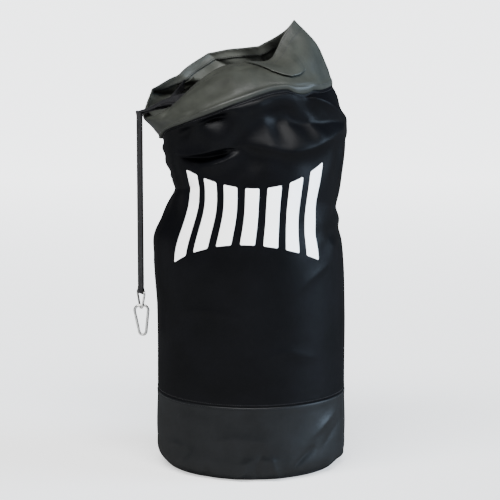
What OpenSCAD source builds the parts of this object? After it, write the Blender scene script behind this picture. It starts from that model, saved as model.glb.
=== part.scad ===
// Laundry bag in the form of a gym heavy bag: a woven tube with a coated bottom band and collar,
// a webbing hanging strap, a delta ring and a snap hook. Millimetres, +Z up.
// The origin is the centre of the base panel's underside, on the floor. -Y is the printed front.

/* [Bag] */
// Diameter of the filled bag
bag_d = 350; // [320:5:380]
// Wall thickness of the fabric panels
wall = 2; // [1.5:0.1:2.2]
// Diameter of the flat base panel
base_d = 312; // [300:1:314]
// Height of the flat strip that each seam tape covers
tape_w = 20; // [12:2:24]

/* [Print] */
// Number of plain bars in the front print
bar_count = 7; // [3:1:9]
// Width of one bar along the fabric
bar_w = 28; // [20:1:34]
// Gap between two bars along the fabric
bar_gap = 16; // [8:1:18]

/* [Strap] */
// Width of the webbing
strap_w = 20; // [16:1:22]
// Thickness of one layer of webbing
strap_t = 2; // [1.5:0.1:2]

/* [Ring and snap hook] */
// Diameter of the ring's wire
ring_wire = 4; // [3:0.5:4]
// Diameter of the snap hook's wire
hook_wire = 5; // [4.5:0.5:5]
// Height of the ring between wire centres
ring_h = 31; // [28:1:40]

/* [Hidden] */

black_nylon = [0.06, 0.065, 0.08];
grey_coated = [0.17, 0.18, 0.17];
webbing_black = [0.03, 0.03, 0.03];
print_white = [0.9, 0.9, 0.88];
steel = [0.72, 0.72, 0.74];

// Heights measured along the fabric, from the base edge up: where each panel is cut and sewn.
band_top = 140;
panel_top = 700;
rim_top = 840;

// Everything across the bag follows its diameter.
k = bag_d / 350;
bag_r = bag_d / 2;
columns = 48;
column_deg = 360 / columns;
row_h = 20;

// The collar's seam and its rim are free curves: the collar leans back over the load, stands up
// to a peak on the right and drops to a lip on the left. Sixteen points each, from +X
// counter-clockwise.
seam_curve = [for (p = [
    [149, 5, 702], [140, 58, 698], [108, 105, 688], [62, 138, 674],
    [5, 152, 658], [-58, 145, 642], [-110, 115, 622], [-148, 62, 606],
    [-163, 0, 604], [-154, -66, 626], [-118, -122, 646], [-68, -148, 668],
    [-12, -146, 688], [40, -126, 703], [82, -104, 704], [122, -62, 698]])
    [k * p[0], k * p[1], p[2]]];
rim_curve = [for (p = [
    [80, 15, 820], [64, 55, 801], [34, 92, 783], [-8, 118, 767],
    [-50, 125, 757], [-92, 115, 743], [-138, 84, 720], [-178, 34, 690],
    [-192, -2, 660], [-170, -28, 648], [-138, -14, 672], [-100, -20, 708],
    [-55, -26, 738], [-8, -34, 747], [35, -42, 752], [58, -15, 792]])
    [k * p[0], k * p[1], p[2]]];
// The collar bellies out between the two, most of all where its slack folds at the low lip.
belly = [8, 10];
lip_belly = 10;
collar_mid = [for (i = [0:15]) let (
    mid = (seam_curve[i] + rim_curve[i]) / 2,
    out = [mid[0], mid[1], 0] / norm([mid[0], mid[1]]),
    slack = max(0, -cos(22.5 * i)) ^ 3)
    mid + (belly[0] + lip_belly * slack) * out + [0, 0, belly[1]]];

// A ring that follows cosines: centre, half widths, height and how the height tips.
function round_ring(cx, rx, cy, ry, z, tip_x, tip_y) = [for (i = [0:15]) let (
    c = cos(22.5 * i), s = sin(22.5 * i))
    [k * (cx + rx * c), k * (cy + ry * s), z + tip_x * c + tip_y * s]];

// Rings of the filled bag from the base edge to the rim, with the fabric height of each.
rings = [
    round_ring(0, 158, 0, 158, 1.5, 0, 0),
    round_ring(0, 173, 0, 173, 20, 0, 0),
    round_ring(0, 176, 0, 176, 55, 0, 0),
    round_ring(0, 174.5, 0, 174.5, 139, 0, 0),
    round_ring(0, 174.5, 0, 174.5, 288, 0, 0),
    round_ring(-3.5, 173.5, 0, 174, 403, -7, 0),
    round_ring(6, 152, -2, 163, 490, -22, 0),
    round_ring(5.5, 168.5, 10, 155, 600, 15, -7),
    seam_curve, collar_mid, rim_curve];
heights = [0, 27, 62, 140, 290, 405, 500, 612, 700, 770, 840];

function wrap(i, n) = (i % n + n) % n;

// A smooth closed curve through a ring's points, u in degrees.
function on_ring(ring, u) = let (
    n = len(ring), a = u / 360 * n, i = floor(a), f = a - i,
    p0 = ring[wrap(i - 1, n)], p1 = ring[wrap(i, n)],
    p2 = ring[wrap(i + 1, n)], p3 = ring[wrap(i + 2, n)])
    0.5 * (2 * p1 + (p2 - p0) * f + (2 * p0 - 5 * p1 + 4 * p2 - p3) * f * f
        + (3 * p1 - p0 - 3 * p2 + p3) * f * f * f);

// The slope of a curve through points a, b, c at b, for uneven spacing.
function slope(a, b, c, ta, tb, tc) =
    ((c - b) / (tc - tb) * (tb - ta) + (b - a) / (tb - ta) * (tc - tb)) / (tc - ta);

function segment_of(t, i = 0) = i >= len(heights) - 2 || t < heights[i + 1] ? i : segment_of(t, i + 1);

// A point of the bag's outer surface: u around it in degrees, t up the fabric.
function on_bag(u, t) = let (
    last = len(heights) - 1, i = segment_of(t),
    t1 = heights[i], t2 = heights[i + 1], f = (t - t1) / (t2 - t1),
    p1 = on_ring(rings[i], u), p2 = on_ring(rings[i + 1], u),
    m1 = i == 0 ? (p2 - p1) / (t2 - t1)
        : slope(on_ring(rings[i - 1], u), p1, p2, heights[i - 1], t1, t2),
    m2 = i + 1 == last ? (p2 - p1) / (t2 - t1)
        : slope(p1, p2, on_ring(rings[i + 2], u), t1, t2, heights[i + 2]),
    g = t2 - t1)
    (2 * f ^ 3 - 3 * f ^ 2 + 1) * p1 + (f ^ 3 - 2 * f ^ 2 + f) * g * m1
        + (3 * f ^ 2 - 2 * f ^ 3) * p2 + (f ^ 3 - f ^ 2) * g * m2;

function unit(v) = v / norm(v);

// The outward normal of that surface.
function bag_normal(u, t) = let (
    across = on_bag(u + 1, t) - on_bag(u - 1, t),
    up = on_bag(u, min(t + 1, rim_top)) - on_bag(u, max(t - 1, 0)))
    unit(cross(across, up));

function off_bag(u, t, d) = on_bag(u, t) + d * bag_normal(u, t);

// The cells of a grid of points, both triangles of each, turned over where flip is set.
function grid_faces(nu, nt, start, closed, flip) = [
    for (j = [0:nt - 2], i = [0:(closed ? nu - 1 : nu - 2)], h = [0, 1]) let (
        a = start + j * nu + i, b = start + j * nu + wrap(i + 1, nu), c = b + nu, d = a + nu,
        tri = h == 0 ? [a, d, c] : [a, c, b])
        flip ? [tri[2], tri[1], tri[0]] : tri];

// The strip that joins an edge of the outer grid to the same edge of the inner one.
function edge_faces(ids, far, closed) = [
    for (i = [0:len(ids) - (closed ? 1 : 2)], h = [0, 1]) let (
        a = ids[i], b = ids[wrap(i + 1, len(ids))])
        h == 0 ? [a, b, b + far] : [a, b + far, a + far]];

// A closed skin between two offsets of the bag's surface, over the given rows and columns.
module skin(us, ts, outer, inner, closed = true) {
    nu = len(us);
    nt = len(ts);
    count = nu * nt;
    points = [for (d = [outer, inner], t = ts, u = us) off_bag(u, t, d)];
    bottom = [for (i = [0:nu - 1]) i];
    top = [for (i = [nu - 1:-1:0]) (nt - 1) * nu + i];
    left = [for (j = [nt - 1:-1:0]) j * nu];
    right = [for (j = [0:nt - 1]) j * nu + nu - 1];
    sides = closed ? [] : concat(edge_faces(left, count, false), edge_faces(right, count, false));
    polyhedron(points, concat(
        grid_faces(nu, nt, 0, closed, false),
        grid_faces(nu, nt, count, closed, true),
        edge_faces(bottom, count, closed), edge_faces(top, count, closed), sides));
}

function around() = [for (i = [0:columns - 1]) i * column_deg];
function rows(from, to, step) = let (n = max(1, round((to - from) / step)))
    [for (i = [0:n]) from + (to - from) * i / n];

// ---- sewn panels ----

module base_panel() {
    color(grey_coated) cylinder(d = base_d * k, h = wall, $fn = 96);
}

// The seam allowance of the base stands up inside the bag, wrapped in tape.
module base_seam_binding() {
    binding_h = 10;
    binding_t = 3;
    color(webbing_black) translate([0, 0, wall + 0.2]) difference() {
        cylinder(d = base_d * k - 8, h = binding_h, $fn = 96);
        translate([0, 0, -1]) cylinder(d = base_d * k - 8 - 2 * binding_t, h = binding_h + 2, $fn = 96);
    }
}

module bottom_band() {
    color(grey_coated) skin(around(), concat([0, 9, 18], rows(27, band_top - 0.3, 19)), 0, -wall);
}

module main_panel() {
    color(black_nylon) skin(around(), rows(band_top + 0.3, panel_top - 0.3, row_h), 0, -wall);
}

module collar() {
    color(grey_coated) skin(around(), rows(panel_top + 0.3, rim_top, row_h), 0, -wall);
}

tape_gap = 1.4;
tape_t = 1;

module seam_tape(t) {
    color(webbing_black) skin(around(), [t - tape_w / 2, t, t + tape_w / 2],
        -wall - tape_gap, -wall - tape_gap - tape_t);
}

module back_seam_tape() {
    half_deg = 3.3;
    color(webbing_black) skin([90 - half_deg, 90, 90 + half_deg],
        rows(band_top + tape_w, panel_top - tape_w, row_h),
        -wall - tape_gap, -wall - tape_gap - tape_t, false);
}

// The rim is turned in: its second layer lies inside the collar.
module rim_hem() {
    hem_w = 24;
    color(grey_coated) skin(around(), [rim_top - hem_w, rim_top - hem_w / 2, rim_top - 1],
        -wall - 0.5, -wall - 1.5);
}

// Plain upright bars of white transfer film on the front. Their lower and upper ends lie on two
// arcs that part towards both sides, so the middle bar is the shortest.
module front_print() {
    middle_deg = 268;
    lower_arc = [438, 7, -33];
    upper_arc = [541, 7, 24];
    deg_per_mm = 360 / (2 * PI * bag_r);
    pitch = bar_w + bar_gap;
    half = bar_w / 2 * deg_per_mm;
    color(print_white) for (i = [0:bar_count - 1]) {
        s = 2 * i / (bar_count - 1) - 1;
        mid = middle_deg + (i - (bar_count - 1) / 2) * pitch * deg_per_mm;
        ends = [for (arc = [lower_arc, upper_arc]) arc * [1, s, s * s]];
        skin([for (side = [-1, -0.33, 0.33, 1]) mid + side * half],
            rows(ends[0], ends[1], row_h), 1.3, 0.7, false);
    }
}

// ---- webbing ----

// The line on which the strap's hanging part swings, just outside the low lip.
swing_at = [-203, -28, 655];
swing_axis = unit([-0.5, 0.87, 0]);
swing_out = [-swing_axis[1], swing_axis[0], 0];
loop_z = 324;

// A smooth open curve through a list of points.
function on_line(points, s) = let (
    n = len(points) - 1, a = min(s, 1) * n, i = min(floor(a), n - 1), f = a - i,
    p1 = points[i], p2 = points[i + 1],
    p0 = i > 0 ? points[i - 1] : 2 * p1 - p2,
    p3 = i < n - 1 ? points[i + 2] : 2 * p2 - p1)
    0.5 * (2 * p1 + (p2 - p0) * f + (2 * p0 - 5 * p1 + 4 * p2 - p3) * f * f
        + (3 * p1 - p0 - 3 * p2 + p3) * f * f * f);

// A flat strip along a path. sides gives the direction of its width at the same points.
module strip(path, sides, width, thick, n) {
    section = [[-1, -1], [1, -1], [1, 1], [-1, 1]];
    points = [for (j = [0:n]) let (
        s = j / n, p = on_line(path, s),
        ahead = unit(on_line(path, min(1, s + 0.01)) - on_line(path, max(0, s - 0.01))),
        raw = on_line(sides, s),
        side = unit(raw - (raw * ahead) * ahead),
        face = cross(ahead, side))
        for (c = section) p + side * c[0] * width / 2 + face * c[1] * thick / 2];
    polyhedron(points, concat(
        [[0, 1, 2], [0, 2, 3]],
        [for (j = [0:n - 1], i = [0:3], h = [0, 1]) let (
            a = j * 4 + i, b = j * 4 + (i + 1) % 4)
            h == 0 ? [a, a + 4, b + 4] : [a, b + 4, b]],
        [[4 * n, 4 * n + 2, 4 * n + 1], [4 * n, 4 * n + 3, 4 * n + 2]]));
}

// Both legs lie on each other where they cross the lip, the front one on top.
leg_end = swing_at - swing_out * (strap_t + 1);
layer = [0, 0, strap_t / 2 + 0.8];
lip = [-181, -15, 660.5];
front_leg_path = [[-86, -59, 698], [-106, -34, 686], [-132, 2, 678], [-160, -3, 672],
    lip + layer, leg_end + layer];
front_leg_sides = [[0.35, 0.3, 0.9], [0.35, 0.5, 0.8], [0, 0.8, 0.6], [-0.4, 0.9, 0.1],
    swing_axis, swing_axis];
back_leg_path = [[-125, 99, 697], [-132, 74, 686], [-142, 42, 671], [-160, 8, 662],
    lip - layer, leg_end - layer];
back_leg_sides = [[0.2, 0.3, 0.9], [0.1, 0.4, 0.9], [-0.2, 0.7, 0.5], [-0.4, 0.9, 0.1],
    swing_axis, swing_axis];

module strap_leg(path, sides) {
    color(webbing_black) strip(path, sides, strap_w, strap_t, 20);
}

module strap_patch(u, t) {
    patch_t = 1;
    half_deg = 6;
    color(grey_coated) skin([u - half_deg, u, u + half_deg], [t - 16, t, t + 16],
        -wall - 0.7, -wall - 0.7 - patch_t, false);
}

// Lays a shape built along Z so that it runs along the swing axis.
module along_swing_axis() {
    rotate([0, 0, atan2(swing_axis[1], swing_axis[0])]) rotate([0, 90, 0]) children();
}

module hanging_strap() {
    eye_r = ring_wire / 2 + 0.3;
    eye_outer = eye_r + strap_t;
    hang = [swing_at[0], swing_at[1], 0];
    down = [swing_at + [0, 0, -0.5], hang + [0, 0, 560], hang + [0, 0, 440],
        hang + [0, 0, loop_z + eye_outer - 1]];
    color(webbing_black) difference() {
        union() {
            strip(down, [for (p = down) swing_axis], strap_w, 2 * strap_t, 6);
            translate(swing_at) along_swing_axis()
                cylinder(r = strap_t, h = strap_w, center = true, $fn = 48);
            translate([hang[0], hang[1], loop_z]) along_swing_axis()
                cylinder(r = eye_outer, h = strap_w, center = true, $fn = 48);
        }
        translate([hang[0], hang[1], loop_z]) along_swing_axis()
            cylinder(r = eye_r, h = strap_w + 4, center = true, $fn = 48);
    }
}

// ---- ring and snap hook, both drawn in their own upright plane ----

// A round wire between two points of the XZ plane. It laps a little over the bends at its ends.
module bar(a, b, d) {
    lap = 0.05;
    v = b - a;
    translate([a[0], 0, a[1]]) rotate([0, atan2(v[0], v[1]), 0])
        translate([0, 0, -lap]) cylinder(d = d + lap, h = norm(v) + 2 * lap, $fn = 48);
}

// A round wire bent about c, from angle a0 through sweep degrees.
module bend(c, r, d, a0, sweep) {
    translate([c[0], 0, c[1]]) rotate([90, 0, 0]) rotate([0, 0, a0])
        rotate_extrude(angle = sweep, $fn = 96) translate([r, 0]) circle(d = d, $fn = 48);
}

// A triangle with round corners: a straight bar in the webbing and a round foot.
module delta_ring() {
    bar_half = 14;
    corner = 3.5;
    foot = 6;
    // The side's lean from upright, where it touches both the corner and the foot.
    top_c = [bar_half - corner, -corner];
    foot_c = [0, foot - ring_h];
    v = top_c - foot_c;
    lean = atan2(v[0], v[1]) + asin((corner - foot) / norm(v));
    n = [cos(lean), -sin(lean)];
    color(steel) translate([swing_at[0], swing_at[1], loop_z])
        rotate([0, 0, atan2(swing_axis[1], swing_axis[0])]) {
        bar([-top_c[0], 0], [top_c[0], 0], ring_wire);
        for (m = [0, 1]) mirror([m, 0, 0]) {
            bend(top_c, corner, ring_wire, -lean, 90 + lean);
            bar(top_c + corner * n, foot_c + foot * n, ring_wire);
        }
        bend(foot_c, foot, ring_wire, lean - 180, 180 - 2 * lean);
    }
}

// Snap hook: wide end up, gate on the left between the hinge and the nose. It hangs tilted a little.
hook_tilt = 3;
hook_top = loop_z - ring_h + (ring_wire + hook_wire) / 2 + 0.2;
hook_l = 55;
top_c = [3.5, -9];
top_r = 9;
foot_r = 6.5;
foot_c = [0, foot_r - hook_l];
hook_v = top_c - foot_c;
hook_lean = atan2(hook_v[0], hook_v[1]) + asin((top_r - foot_r) / norm(hook_v));
side_n = [cos(hook_lean), -sin(hook_lean)];
side_top = top_c + top_r * side_n;
side_foot = foot_c + foot_r * side_n;
side_l = norm(side_top - side_foot);

// Heights along the gate's side, from the foot bend up.
hinge_at = 6;
latch_at = side_l - 5.5;
gate_from = hinge_at - 2.2;
gate_to = latch_at + 2.6;
pin_d = 1.6;
tab_w = 1.6;
slot_w = 2.2;
slot_l = 6;

module at_hook() {
    translate([swing_at[0], swing_at[1], hook_top]) rotate([0, -hook_tilt, 0]) children();
}

// Moves a shape to height s on the left side, with Z along that side and X towards the inside.
module on_left(s) {
    at_hook() translate([-side_foot[0], 0, side_foot[1]]) rotate([0, -hook_lean, 0])
        translate([0, 0, s]) children();
}

module cross_hole(s, d) {
    on_left(s) rotate([90, 0, 0]) cylinder(d = d, h = 12, center = true, $fn = 32);
}

module hook_body() {
    lap = 0.5;
    color(steel) difference() {
        union() {
            at_hook() {
                bar([-top_c[0], 0], [top_c[0], 0], hook_wire);
                for (m = [0, 1]) mirror([m, 0, 0]) bend(top_c, top_r, hook_wire, -hook_lean, 90 + hook_lean);
                bar(side_foot, side_top, hook_wire);
                bend(foot_c, foot_r, hook_wire, hook_lean - 180, 180 - 2 * hook_lean);
            }
            // The short straight ends of the wire, below the hinge and above the nose.
            on_left(-0.05) cylinder(d = hook_wire + 0.05, h = gate_from - 1.1, $fn = 48);
            on_left(gate_to + 0.6) cylinder(d = hook_wire + 0.05, h = side_l - gate_to - 0.55, $fn = 48);
            // Flat tab with a round end that carries the hinge pin.
            on_left(gate_from - 1.1 - lap) translate([-1.6, -tab_w / 2, 0])
                cube([3.2, tab_w, hinge_at - gate_from + 1.1 + lap]);
            on_left(hinge_at) rotate([90, 0, 0]) cylinder(r = 2.2, h = tab_w, center = true, $fn = 32);
            // Flat nose: a neck on the outer side and a head below the latch pin.
            on_left(latch_at + 1) translate([-1.6, -tab_w / 2, 0]) cube([3.2, tab_w, gate_to - latch_at]);
            on_left(latch_at - 2.9) translate([-1.6, -tab_w / 2, 0]) cube([0.7, tab_w, 4]);
            on_left(latch_at - 2.9) translate([-1.6, -tab_w / 2, 0]) cube([3.2, tab_w, 1.9]);
        }
        cross_hole(hinge_at, pin_d);
    }
}

module gate_hinge_pin() {
    color(steel) on_left(hinge_at) rotate([90, 0, 0])
        cylinder(d = pin_d - 0.1, h = hook_wire + 0.6, center = true, $fn = 32);
}

module gate_latch_pin() {
    color(steel) on_left(latch_at) rotate([90, 0, 0])
        cylinder(d = pin_d - 0.1, h = hook_wire, center = true, $fn = 32);
}

// The spring in the gate's bore pushes the plunger against the hinge tab.
plunger_from = hinge_at + 2.4;
plunger_l = 5;
spring_l = 12;
bore_d = 2.6;

module gate_plunger() {
    color(steel) on_left(plunger_from) cylinder(d = bore_d - 0.3, h = plunger_l, $fn = 32);
}

module gate_spring() {
    color(steel) on_left(plunger_from + plunger_l + 0.1) difference() {
        cylinder(d = bore_d - 0.3, h = spring_l, $fn = 32);
        translate([0, 0, -1]) cylinder(d = 1.3, h = spring_l + 2, $fn = 32);
    }
}

module gate_sleeve() {
    color(steel) difference() {
        on_left(gate_from) cylinder(d = hook_wire, h = gate_to - gate_from, $fn = 48);
        // Slots at both ends take the hinge tab and the nose.
        on_left(gate_from - 1) translate([-5, -slot_w / 2, 0]) cube([10, slot_w, slot_l + 1]);
        on_left(gate_to - slot_l) translate([-5, -slot_w / 2, 0]) cube([10, slot_w, slot_l + 1]);
        on_left(plunger_from) cylinder(d = bore_d, h = plunger_l + spring_l + 0.2, $fn = 32);
        cross_hole(hinge_at, pin_d);
        cross_hole(latch_at, pin_d);
    }
}

base_panel();
base_seam_binding();
bottom_band();
seam_tape(band_top);  // band_seam_tape
main_panel();
back_seam_tape();
front_print();
seam_tape(panel_top);  // collar_seam_tape
collar();
rim_hem();
strap_patch(250, 795);  // front_strap_patch
strap_patch(130, 795);  // back_strap_patch
strap_leg(front_leg_path, front_leg_sides);  // front_strap_leg
strap_leg(back_leg_path, back_leg_sides);  // back_strap_leg
hanging_strap();
delta_ring();
hook_body();
gate_hinge_pin();
gate_plunger();
gate_spring();
gate_sleeve();
gate_latch_pin();
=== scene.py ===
"""The looks of a laundry bag shaped like a gym heavy bag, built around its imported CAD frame.

Lengths in the cloth work are millimetres. Blender objects are in metres, in the frame's own axes:
+Z up, the printed front facing -Y, the origin under the centre of the base.
"""
import math

import bmesh
import bpy
import numpy as np
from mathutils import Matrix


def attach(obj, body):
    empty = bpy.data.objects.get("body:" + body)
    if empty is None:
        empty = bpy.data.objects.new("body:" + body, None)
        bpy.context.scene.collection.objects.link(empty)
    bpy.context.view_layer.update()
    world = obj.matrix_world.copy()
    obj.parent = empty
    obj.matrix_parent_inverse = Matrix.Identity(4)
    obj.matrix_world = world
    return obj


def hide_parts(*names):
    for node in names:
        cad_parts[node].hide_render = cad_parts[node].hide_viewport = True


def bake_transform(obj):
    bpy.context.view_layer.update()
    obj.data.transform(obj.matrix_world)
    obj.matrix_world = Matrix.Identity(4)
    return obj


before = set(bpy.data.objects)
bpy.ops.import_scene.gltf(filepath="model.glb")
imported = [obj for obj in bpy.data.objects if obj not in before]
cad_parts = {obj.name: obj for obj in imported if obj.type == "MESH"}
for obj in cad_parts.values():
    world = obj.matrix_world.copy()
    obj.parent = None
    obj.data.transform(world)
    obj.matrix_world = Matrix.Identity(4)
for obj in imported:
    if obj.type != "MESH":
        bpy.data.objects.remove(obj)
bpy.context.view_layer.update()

MM = 0.001
TAU = 2 * math.pi

# ---- design, as in the CAD source

BAG_R = 175.0
BAND_TOP = 140.0
PANEL_TOP = 700.0
RIM_TOP = 840.0
HEM_W = 24.0
TAPE_W = 20.0
BAR_COUNT = 7
BAR_W = 28.0
BAR_GAP = 16.0
PRINT_ANGLE = 268
# Heights of the bars' ends across the print, from -1 at the left to 1 at the right: an arc each.
BAR_LOW = (438, 7, -33)
BAR_HIGH = (541, 7, 24)
STRAP_W = 20.0
STRAP_T = 2.0

SEAM_CURVE = np.array([
    (149, 5, 702), (140, 58, 698), (108, 105, 688), (62, 138, 674),
    (5, 152, 658), (-58, 145, 642), (-110, 115, 622), (-148, 62, 606),
    (-163, 0, 604), (-154, -66, 626), (-118, -122, 646), (-68, -148, 668),
    (-12, -146, 688), (40, -126, 703), (82, -104, 704), (122, -62, 698)], float)
RIM_CURVE = np.array([
    (80, 15, 820), (64, 55, 801), (34, 92, 783), (-8, 118, 767),
    (-50, 125, 757), (-92, 115, 743), (-138, 84, 720), (-178, 34, 690),
    (-192, -2, 660), (-170, -28, 648), (-138, -14, 672), (-100, -20, 708),
    (-55, -26, 738), (-8, -34, 747), (35, -42, 752), (58, -15, 792)], float)
RING_POINTS = 16
BELLY_OUT = 8.0
BELLY_UP = 10.0
LIP_BELLY = 10.0


def round_ring(cx, rx, cy, ry, z, tip_x, tip_y):
    """A closed curve that follows cosines: centre, half widths, height and how the height tips."""
    a = np.arange(RING_POINTS) * TAU / RING_POINTS
    c = np.cos(a)
    s = np.sin(a)
    return np.stack([cx + rx * c, cy + ry * s, z + tip_x * c + tip_y * s], 1)


def collar_middle():
    """The curve half way up the collar, which bellies out, most of all at the low lip."""
    mid = (SEAM_CURVE + RIM_CURVE) / 2
    out = mid * (1, 1, 0)
    out /= np.linalg.norm(out, axis=1)[:, None]
    slack = np.maximum(0, -np.cos(np.arange(RING_POINTS) * TAU / RING_POINTS)) ** 3
    return mid + (BELLY_OUT + LIP_BELLY * slack)[:, None] * out + (0, 0, BELLY_UP)


RINGS = np.array([
    round_ring(0, 158, 0, 158, 1.5, 0, 0),
    round_ring(0, 173, 0, 173, 20, 0, 0),
    round_ring(0, 176, 0, 176, 55, 0, 0),
    round_ring(0, 174.5, 0, 174.5, 139, 0, 0),
    round_ring(0, 174.5, 0, 174.5, 288, 0, 0),
    round_ring(-3.5, 173.5, 0, 174, 403, -7, 0),
    round_ring(6, 152, -2, 163, 490, -22, 0),
    round_ring(5.5, 168.5, 10, 155, 600, 15, -7),
    SEAM_CURVE, collar_middle(), RIM_CURVE])
HEIGHTS = np.array([0, 27, 62, 140, 290, 405, 500, 612, 700, 770, 840], float)


def spline(p0, p1, p2, p3, f):
    """A smooth curve from p1 to p2, whose neighbours are p0 and p3, at the share f of the way."""
    return 0.5 * (2 * p1 + (p2 - p0) * f + (2 * p0 - 5 * p1 + 4 * p2 - p3) * f ** 2
                  + (3 * p1 - p0 - 3 * p2 + p3) * f ** 3)


def on_rings(u):
    """Every ring's smooth closed curve at the angles u, in degrees."""
    a = np.asarray(u, float) / 360 * RING_POINTS
    i = np.floor(a).astype(int)
    f = (a - i)[None, :, None]
    return spline(*[RINGS[:, (i + d) % RING_POINTS] for d in (-1, 0, 1, 2)], f)


def on_bag(u, t):
    """Points of the bag's outer surface for angles u (degrees) and fabric heights t, arrays alike."""
    curves = on_rings(u)
    step = np.diff(HEIGHTS)
    rise = np.diff(curves, axis=0) / step[:, None, None]
    slope = np.empty_like(curves)
    slope[0] = rise[0]
    slope[-1] = rise[-1]
    low = step[:-1, None, None]
    high = step[1:, None, None]
    slope[1:-1] = (rise[1:] * low + rise[:-1] * high) / (low + high)
    t = np.clip(np.asarray(t, float), 0, HEIGHTS[-1])
    i = np.clip(np.searchsorted(HEIGHTS, t, side="right") - 1, 0, len(HEIGHTS) - 2)
    g = step[i]
    f = (t - HEIGHTS[i]) / g
    column = np.broadcast_to(np.arange(len(u)), t.shape)
    g = g[..., None]
    f = f[..., None]
    return ((2 * f ** 3 - 3 * f ** 2 + 1) * curves[i, column]
            + (f ** 3 - 2 * f ** 2 + f) * g * slope[i, column]
            + (3 * f ** 2 - 2 * f ** 3) * curves[i + 1, column]
            + (f ** 3 - f ** 2) * g * slope[i + 1, column])


def unit(v):
    return v / np.linalg.norm(v, axis=-1, keepdims=True)


def normals_of(grid):
    """Outward normals of a grid of points: rows go up the bag, columns go round it and close."""
    across = np.roll(grid, -1, 1) - np.roll(grid, 1, 1)
    up = np.gradient(grid, axis=0)
    return unit(np.cross(across, up))


def smooth(x):
    x = np.clip(x, 0, 1)
    return x * x * (3 - 2 * x)


# ---- the cloth grid

COLUMNS = 640
BAND_ROWS = 70
PANEL_ROWS = 280
COLLAR_ROWS = 90
ANGLES = np.arange(COLUMNS) * 360 / COLUMNS
SEAM_ROW = BAND_ROWS
COLLAR_ROW = BAND_ROWS + PANEL_ROWS
RIM_ROW = COLLAR_ROW + COLLAR_ROWS

# The pleat in the collar: along its fold line the cloth doubles back under itself.
PLEAT_ANGLE = (290, 293, 296, 300, 307, 314, 323, 332)
PLEAT_LINE = (840, 810, 780, 758, 741, 733, 737, 748)
PLEAT_DEPTH = (0, 8, 13, 15, 15, 13, 8, 0)
PLEAT_GAP = 2.4
PLEAT_TURN = 3.0
# How deep the pleat is where it lifts in full, and how the cloth above it settles back.
PLEAT_FULL = 6
PLEAT_SETTLE = 0.7
PLEAT_SETTLE_RUN = 70


def cloth_rows_plain():
    """Fabric heights of the grid as if there were no pleat."""
    band = np.linspace(0, BAND_TOP, BAND_ROWS, endpoint=False)
    panel = np.linspace(BAND_TOP, PANEL_TOP, PANEL_ROWS, endpoint=False)
    collar = np.linspace(PANEL_TOP, RIM_TOP, COLLAR_ROWS + 1)
    return np.repeat(np.concatenate([band, panel, collar])[:, None], COLUMNS, 1)


def cloth_rows():
    """Fabric height of every grid point, and how far the pleat lifts it off the plain surface."""
    plain = cloth_rows_plain()[:COLLAR_ROW]
    line = np.interp(ANGLES, PLEAT_ANGLE, PLEAT_LINE)
    depth = np.interp(ANGLES, PLEAT_ANGLE, PLEAT_DEPTH)
    depth = np.minimum(depth, RIM_TOP - line)
    run = np.linspace(0, 1, COLLAR_ROWS + 1)[:, None] * (RIM_TOP - PANEL_TOP + 2 * depth)
    first = line - PANEL_TOP + depth
    second = first + depth
    height = np.where(run < first, PANEL_TOP + run,
                      np.where(run < second, PANEL_TOP + 2 * first - run, line + run - second))
    turn = 2 * PLEAT_TURN
    lift = smooth((run - first + PLEAT_TURN) / turn) + smooth((run - second + PLEAT_TURN) / turn)
    settle = 1 - PLEAT_SETTLE * smooth((run - second) / PLEAT_SETTLE_RUN)
    lift = lift * PLEAT_GAP * np.minimum(depth / PLEAT_FULL, 1) * settle
    return np.concatenate([plain, height]), np.concatenate([np.zeros_like(plain), lift])


# ---- folds, in angle and fabric height

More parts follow.
